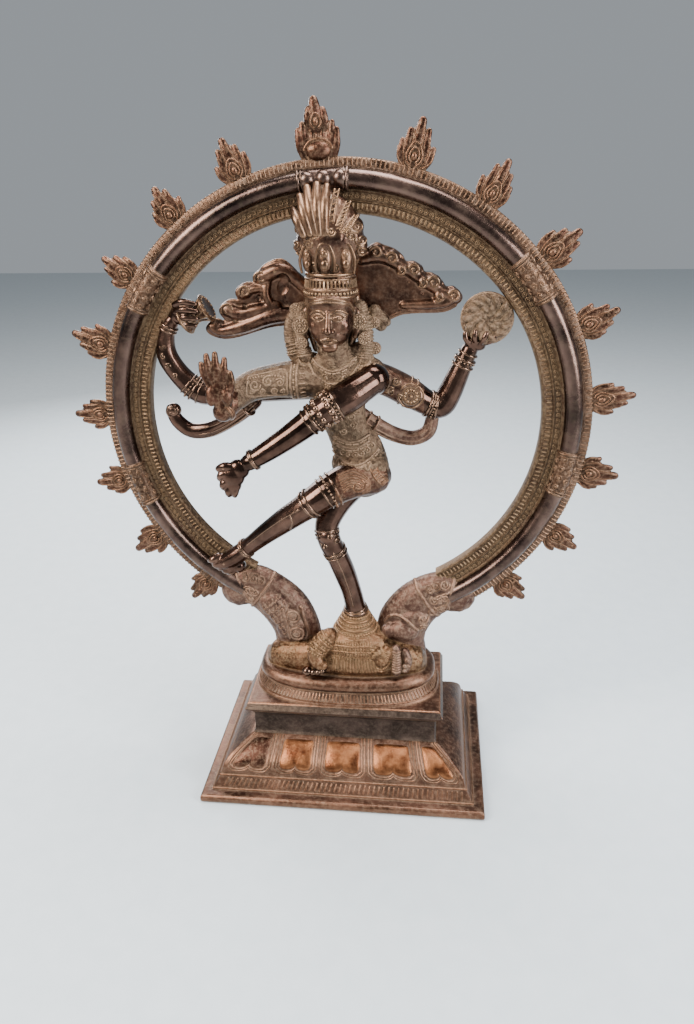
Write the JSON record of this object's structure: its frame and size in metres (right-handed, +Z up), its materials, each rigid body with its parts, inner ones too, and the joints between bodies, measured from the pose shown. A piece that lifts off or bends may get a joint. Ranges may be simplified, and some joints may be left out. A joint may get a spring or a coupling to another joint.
{
  "type": "brass nataraja statue",
  "caption": "Free-standing cast brass statue of a four-armed dancer in a ring of flames, on an oval seat and a stepped pedestal, in a dark antique finish.",
  "frame": {"origin": "centre of the pedestal's underside, on the surface it stands on", "axes": "+Z up, -Y the way the dancer faces, +X to the viewer's right; the ring lies in the XZ plane"},
  "size_m": [0.2037, 0.075, 0.2535],
  "materials": {
    "pedestal_brass": "antique brown cast brass, worn to copper orange on edges and petals, dusty grooves",
    "recess_brass": "dark oxidised brass in the recess",
    "ring_brass": "near-black brown polished moulding with ochre dust in the beaded band",
    "makara_brass": "dusty brown cast brass",
    "flame_brass": "brown cast brass, worn warmer on the tongues",
    "dusty_brass": "brown brass under ochre-green dust",
    "head_brass": "warm brown brass, half polished",
    "limb_brass": "smooth near-black brown brass with sharp highlights",
    "dwarf_brass": "orange worn brass with dusty folds",
    "fastener_steel": "plain steel"
  },
  "bodies": {
    "root": {"plinth": "pedestal_brass", "cap_plate": "pedestal_brass", "lotus_seat": "pedestal_brass", "neck_block": "recess_brass", "ring_arch": "ring_brass", "ring_clasp_top": "ring_brass", "ring_clasp_upper_left": "ring_brass", "ring_clasp_upper_right": "ring_brass", "ring_clasp_lower_left": "ring_brass", "ring_clasp_lower_right": "ring_brass", "makara_left": "makara_brass", "makara_right": "makara_brass", "flame_top": "flame_brass", "flame_left_1": "flame_brass", "flame_left_2": "flame_brass", "flame_left_3": "flame_brass", "flame_left_4": "flame_brass", "flame_left_5": "flame_brass", "flame_left_6": "flame_brass", "flame_left_7": "flame_brass", "flame_left_8": "flame_brass", "flame_right_1": "flame_brass", "flame_right_2": "flame_brass", "flame_right_3": "flame_brass", "flame_right_4": "flame_brass", "flame_right_5": "flame_brass", "flame_right_6": "flame_brass", "flame_right_7": "flame_brass", "flame_right_8": "flame_brass", "torso": "dusty_brass", "crown": "dusty_brass", "hair_strand": "dusty_brass", "front_right_arm": "dusty_brass", "flame_disc": "dusty_brass", "anklet_collar": "dusty_brass", "head": "head_brass", "jata_left": "head_brass", "jata_right": "head_brass", "ear_ornament": "head_brass", "drum": "head_brass", "rear_right_arm": "limb_brass", "front_left_arm": "limb_brass", "rear_left_arm": "limb_brass", "sash_left": "limb_brass", "sash_right": "limb_brass", "raised_leg": "limb_brass", "standing_leg": "limb_brass", "dwarf_body": "dwarf_brass", "dwarf_head": "dwarf_brass", "dwarf_arm": "dwarf_brass", "dwarf_foot": "dwarf_brass", "ring_studs": "fastener_steel", "figure_stud": "fastener_steel", "stud_washers": "fastener_steel", "stud_nuts": "fastener_steel"}
  },
  "joints": []
}
